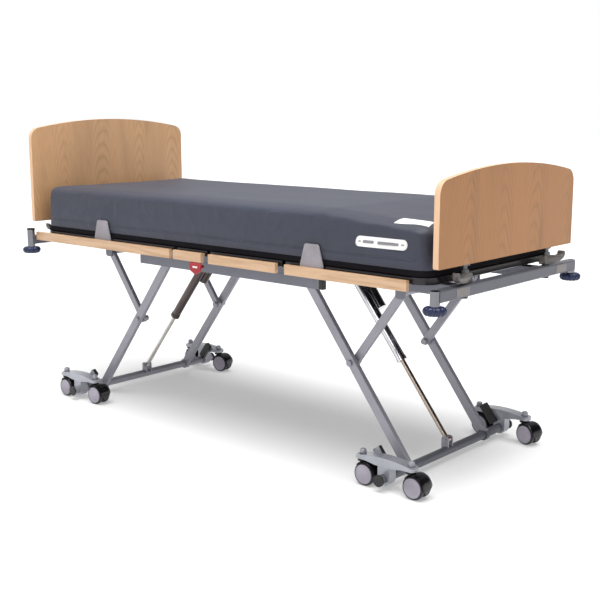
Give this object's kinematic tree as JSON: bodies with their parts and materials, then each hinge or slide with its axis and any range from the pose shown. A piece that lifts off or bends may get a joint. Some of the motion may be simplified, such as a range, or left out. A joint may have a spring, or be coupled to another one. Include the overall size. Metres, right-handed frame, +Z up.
{
  "type": "adjustable hospital bed",
  "caption": "Height-adjustable profiling bed with wooden end panels, a four-section lying surface, leg lifts and twin-wheel casters.",
  "frame": {"origin": "on the floor under the middle of the bed", "axes": "+X along the bed towards the foot end, +Y across the bed, +Z up"},
  "size_m": [2.15, 0.944, 1.188],
  "materials": {
    "frame_paint": "satin grey powder coat",
    "deck_paint": "dark grey powder coat",
    "leg_paint": "silver-grey powder coat",
    "cast_alloy": "painted aluminium casting",
    "cylinder_paint": "dark satin metallic",
    "bright_steel": "polished",
    "black_plastic": "moulded",
    "drive_plastic": "moulded, fine texture",
    "red_plastic": "moulded",
    "maple": "clear satin lacquer",
    "oak": "wood-grain laminate",
    "retainer_plastic": "moulded",
    "clamp_plastic": "moulded",
    "mattress_cover": "coated stretch knit",
    "roller_rubber": "soft moulded",
    "caster_plastic": "moulded",
    "caster_tyre": "moulded"
  },
  "bodies": {
    "frame": {"main_frame": "frame_paint", "slide_rails": "frame_paint", "head_beam": "frame_paint", "foot_beam": "frame_paint", "frame_end_caps": "black_plastic", "twin_drive": "drive_plastic", "seat_trims": "maple", "mattress_seat": "mattress_cover"},
    "back_section": {"back_deck": "deck_paint", "back_trims": "maple", "back_retainers": "retainer_plastic", "mattress_back": "mattress_cover"},
    "thigh_section": {"thigh_deck": "deck_paint", "thigh_trims": "maple", "mattress_thigh": "mattress_cover"},
    "leg_section": {"leg_deck": "deck_paint", "leg_trims": "maple", "leg_retainers": "retainer_plastic", "mattress_leg": "mattress_cover"},
    "release_pull": {"release_handle": "red_plastic"},
    "foot_arms": {"foot_lift_arms": "leg_paint"},
    "foot_legs": {"foot_lift_legs": "leg_paint"},
    "foot_cylinder": {"foot_lift_cylinder": "cylinder_paint"},
    "foot_rod": {"foot_lift_rod": "bright_steel"},
    "foot_caster_arm_near": {"foot_caster_arm_near": "cast_alloy"},
    "foot_caster_arm_far": {"foot_caster_arm_far": "cast_alloy"},
    "head_arms": {"head_lift_arms": "leg_paint"},
    "head_legs": {"head_lift_legs": "leg_paint"},
    "head_cylinder": {"head_lift_cylinder": "cylinder_paint"},
    "head_rod": {"head_lift_rod": "bright_steel"},
    "head_caster_arm_near": {"head_caster_arm_near": "cast_alloy"},
    "head_caster_arm_far": {"head_caster_arm_far": "cast_alloy"},
    "head_panel": {"headboard": "oak", "headboard_posts": "bright_steel"},
    "foot_panel": {"footboard": "oak", "footboard_posts": "bright_steel"},
    "head_clamp_near": {"head_clamp_lever_near": "clamp_plastic"},
    "head_clamp_far": {"head_clamp_lever_far": "clamp_plastic"},
    "foot_clamp_near": {"foot_clamp_lever_near": "clamp_plastic"},
    "foot_clamp_far": {"foot_clamp_lever_far": "clamp_plastic"},
    "head_near_inner_caster": {"head_near_inner_caster_housing": "caster_plastic"},
    "head_near_inner_wheels": {"head_near_inner_caster_wheels": "caster_tyre"},
    "head_near_outer_caster": {"head_near_outer_caster_housing": "caster_plastic"},
    "head_near_outer_wheels": {"head_near_outer_caster_wheels": "caster_tyre"},
    "head_far_inner_caster": {"head_far_inner_caster_housing": "caster_plastic"},
    "head_far_inner_wheels": {"head_far_inner_caster_wheels": "caster_tyre"},
    "head_far_outer_caster": {"head_far_outer_caster_housing": "caster_plastic"},
    "head_far_outer_wheels": {"head_far_outer_caster_wheels": "caster_tyre"},
    "foot_near_inner_caster": {"foot_near_inner_caster_housing": "caster_plastic"},
    "foot_near_inner_wheels": {"foot_near_inner_caster_wheels": "caster_tyre"},
    "foot_near_outer_caster": {"foot_near_outer_caster_housing": "caster_plastic"},
    "foot_near_outer_wheels": {"foot_near_outer_caster_wheels": "caster_tyre"},
    "foot_far_inner_caster": {"foot_far_inner_caster_housing": "caster_plastic"},
    "foot_far_inner_wheels": {"foot_far_inner_caster_wheels": "caster_tyre"},
    "foot_far_outer_caster": {"foot_far_outer_caster_housing": "caster_plastic"},
    "foot_far_outer_wheels": {"foot_far_outer_caster_wheels": "caster_tyre"},
    "head_bumper_near": {"head_bumper_roller_near": "roller_rubber"},
    "head_bumper_far": {"head_bumper_roller_far": "roller_rubber"},
    "foot_bumper_near": {"foot_bumper_roller_near": "roller_rubber"},
    "foot_bumper_far": {"foot_bumper_roller_far": "roller_rubber"}
  },
  "joints": [
    {"name": "back_tilt", "type": "hinge", "parent": "frame", "child": "back_section", "pos_m": [-0.152, 0, 0.711], "axis": [0, 1, 0], "range_deg": [0, 65]},
    {"name": "thigh_tilt", "type": "hinge", "parent": "frame", "child": "thigh_section", "pos_m": [0.028, 0, 0.711], "axis": [0, -1, 0], "range_deg": [0, 30]},
    {"name": "knee_fold", "type": "hinge", "parent": "thigh_section", "child": "leg_section", "pos_m": [0.398, 0, 0.711], "axis": [0, -1, 0], "range_deg": [-48, 0]},
    {"name": "foot_lift", "type": "hinge", "parent": "frame", "child": "foot_arms", "pos_m": [0.766, 0, 0.631], "axis": [0, 1, 0], "range_deg": [0, 46]},
    {"name": "foot_leg_fold", "type": "hinge", "parent": "foot_arms", "child": "foot_legs", "pos_m": [0.569, 0, 0.363], "axis": [0, 1, 0], "range_deg": [-92, 0]},
    {"name": "foot_cylinder_swing", "type": "hinge", "parent": "frame", "child": "foot_cylinder", "pos_m": [0.378, 0, 0.636], "axis": [0, 1, 0], "range_deg": [-43.24, 0]},
    {"name": "foot_rod_slide", "type": "slide", "parent": "foot_cylinder", "child": "foot_rod", "axis": [0.6173, 0, -0.7868], "range_m": [-0.2708, 0]},
    {"name": "foot_near_rocker", "type": "hinge", "parent": "foot_legs", "child": "foot_caster_arm_near", "pos_m": [0.82, -0.366, 0.041], "axis": [0, 1, 0], "range_deg": [0, 46]},
    {"name": "foot_far_rocker", "type": "hinge", "parent": "foot_legs", "child": "foot_caster_arm_far", "pos_m": [0.82, 0.366, 0.041], "axis": [0, 1, 0], "range_deg": [0, 46]},
    {"name": "head_lift", "type": "hinge", "parent": "frame", "child": "head_arms", "pos_m": [-0.766, 0, 0.631], "axis": [0, -1, 0], "range_deg": [0, 46]},
    {"name": "head_leg_fold", "type": "hinge", "parent": "head_arms", "child": "head_legs", "pos_m": [-0.569, 0, 0.363], "axis": [0, -1, 0], "range_deg": [-92, 0]},
    {"name": "head_cylinder_swing", "type": "hinge", "parent": "frame", "child": "head_cylinder", "pos_m": [-0.378, 0, 0.636], "axis": [0, -1, 0], "range_deg": [-43.24, 0]},
    {"name": "head_rod_slide", "type": "slide", "parent": "head_cylinder", "child": "head_rod", "axis": [-0.6173, 0, -0.7868], "range_m": [-0.2708, 0]},
    {"name": "head_near_rocker", "type": "hinge", "parent": "head_legs", "child": "head_caster_arm_near", "pos_m": [-0.82, -0.366, 0.041], "axis": [0, -1, 0], "range_deg": [0, 46]},
    {"name": "head_far_rocker", "type": "hinge", "parent": "head_legs", "child": "head_caster_arm_far", "pos_m": [-0.82, 0.366, 0.041], "axis": [0, -1, 0], "range_deg": [0, 46]},
    {"name": "head_panel_lift", "type": "slide", "parent": "frame", "child": "head_panel", "axis": [0, 0, 1], "range_m": [0, 0.1]},
    {"name": "foot_panel_lift", "type": "slide", "parent": "frame", "child": "foot_panel", "axis": [0, 0, 1], "range_m": [0, 0.1]},
    {"name": "head_near_clamp", "type": "hinge", "parent": "frame", "child": "head_clamp_near", "pos_m": [-1.03, -0.262, 0.697], "axis": [0, 0, 1], "range_deg": [-90, 0]},
    {"name": "head_far_clamp", "type": "hinge", "parent": "frame", "child": "head_clamp_far", "pos_m": [-1.03, 0.262, 0.697], "axis": [0, 0, 1], "range_deg": [0, 90]},
    {"name": "foot_near_clamp", "type": "hinge", "parent": "frame", "child": "foot_clamp_near", "pos_m": [1.03, -0.262, 0.697], "axis": [0, 0, 1], "range_deg": [0, 90]},
    {"name": "foot_far_clamp", "type": "hinge", "parent": "frame", "child": "foot_clamp_far", "pos_m": [1.03, 0.262, 0.697], "axis": [0, 0, 1], "range_deg": [-90, 0]},
    {"name": "release_pull_out", "type": "slide", "parent": "frame", "child": "release_pull", "axis": [0, -1, 0], "range_m": [0, 0.018]},
    {"name": "head_near_inner_swivel", "type": "hinge", "parent": "head_caster_arm_near", "child": "head_near_inner_caster", "pos_m": [-0.722, -0.366, 0.088], "axis": [0, 0, 1], "continuous": true},
    {"name": "head_near_outer_swivel", "type": "hinge", "parent": "head_caster_arm_near", "child": "head_near_outer_caster", "pos_m": [-0.918, -0.366, 0.088], "axis": [0, 0, 1], "continuous": true},
    {"name": "head_far_inner_swivel", "type": "hinge", "parent": "head_caster_arm_far", "child": "head_far_inner_caster", "pos_m": [-0.722, 0.366, 0.088], "axis": [0, 0, 1], "continuous": true},
    {"name": "head_far_outer_swivel", "type": "hinge", "parent": "head_caster_arm_far", "child": "head_far_outer_caster", "pos_m": [-0.918, 0.366, 0.088], "axis": [0, 0, 1], "continuous": true},
    {"name": "foot_near_inner_swivel", "type": "hinge", "parent": "foot_caster_arm_near", "child": "foot_near_inner_caster", "pos_m": [0.722, -0.366, 0.088], "axis": [0, 0, 1], "continuous": true},
    {"name": "foot_near_outer_swivel", "type": "hinge", "parent": "foot_caster_arm_near", "child": "foot_near_outer_caster", "pos_m": [0.918, -0.366, 0.088], "axis": [0, 0, 1], "continuous": true},
    {"name": "foot_far_inner_swivel", "type": "hinge", "parent": "foot_caster_arm_far", "child": "foot_far_inner_caster", "pos_m": [0.722, 0.366, 0.088], "axis": [0, 0, 1], "continuous": true},
    {"name": "foot_far_outer_swivel", "type": "hinge", "parent": "foot_caster_arm_far", "child": "foot_far_outer_caster", "pos_m": [0.918, 0.366, 0.088], "axis": [0, 0, 1], "continuous": true},
    {"name": "head_near_bumper_spin", "type": "hinge", "parent": "frame", "child": "head_bumper_near", "pos_m": [-1.038, -0.435, 0.636], "axis": [0, 0, 1], "continuous": true},
    {"name": "head_far_bumper_spin", "type": "hinge", "parent": "frame", "child": "head_bumper_far", "pos_m": [-1.038, 0.435, 0.636], "axis": [0, 0, 1], "continuous": true},
    {"name": "foot_near_bumper_spin", "type": "hinge", "parent": "frame", "child": "foot_bumper_near", "pos_m": [1.038, -0.435, 0.636], "axis": [0, 0, 1], "continuous": true},
    {"name": "foot_far_bumper_spin", "type": "hinge", "parent": "frame", "child": "foot_bumper_far", "pos_m": [1.038, 0.435, 0.636], "axis": [0, 0, 1], "continuous": true},
    {"name": "head_near_inner_spin", "type": "hinge", "parent": "head_near_inner_caster", "child": "head_near_inner_wheels", "pos_m": [-0.70005, -0.36446, 0.04], "axis": [-0.0698, 0.9976, 0], "continuous": true},
    {"name": "head_near_outer_spin", "type": "hinge", "parent": "head_near_outer_caster", "child": "head_near_outer_wheels", "pos_m": [-0.896, -0.366, 0.04], "axis": [0, 1, 0], "continuous": true},
    {"name": "head_far_inner_spin", "type": "hinge", "parent": "head_far_inner_caster", "child": "head_far_inner_wheels", "pos_m": [-0.70033, 0.36982, 0.04], "axis": [-0.1736, 0.9848, 0], "continuous": true},
    {"name": "head_far_outer_spin", "type": "hinge", "parent": "head_far_outer_caster", "child": "head_far_outer_wheels", "pos_m": [-0.89612, 0.3683, 0.04], "axis": [-0.1045, 0.9945, 0], "continuous": true},
    {"name": "foot_near_inner_spin", "type": "hinge", "parent": "foot_near_inner_caster", "child": "foot_near_inner_wheels", "pos_m": [0.744, -0.366, 0.04], "axis": [0, 1, 0], "continuous": true},
    {"name": "foot_near_outer_spin", "type": "hinge", "parent": "foot_near_outer_caster", "child": "foot_near_outer_wheels", "pos_m": [0.94, -0.366, 0.04], "axis": [0, 1, 0], "continuous": true},
    {"name": "foot_far_inner_spin", "type": "hinge", "parent": "foot_far_inner_caster", "child": "foot_far_inner_wheels", "pos_m": [0.74388, 0.3637, 0.04], "axis": [0.1045, 0.9945, 0], "continuous": true},
    {"name": "foot_far_outer_spin", "type": "hinge", "parent": "foot_far_outer_caster", "child": "foot_far_outer_wheels", "pos_m": [0.93952, 0.36143, 0.04], "axis": [0.2079, 0.9781, 0], "continuous": true}
  ],
  "couplings": [
    {"joint": "knee_fold", "follows": "thigh_tilt", "ratio": -1.6},
    {"joint": "foot_leg_fold", "follows": "foot_lift", "ratio": -2},
    {"joint": "foot_cylinder_swing", "follows": "foot_lift", "ratio": -0.92913},
    {"joint": "foot_rod_slide", "follows": "foot_lift", "m_per_rad": -0.33486},
    {"joint": "foot_near_rocker", "follows": "foot_lift", "ratio": 1},
    {"joint": "foot_far_rocker", "follows": "foot_lift", "ratio": 1},
    {"joint": "head_leg_fold", "follows": "head_lift", "ratio": -2},
    {"joint": "head_cylinder_swing", "follows": "head_lift", "ratio": -0.92913},
    {"joint": "head_rod_slide", "follows": "head_lift", "m_per_rad": -0.33486},
    {"joint": "head_near_rocker", "follows": "head_lift", "ratio": 1},
    {"joint": "head_far_rocker", "follows": "head_lift", "ratio": 1}
  ]
}
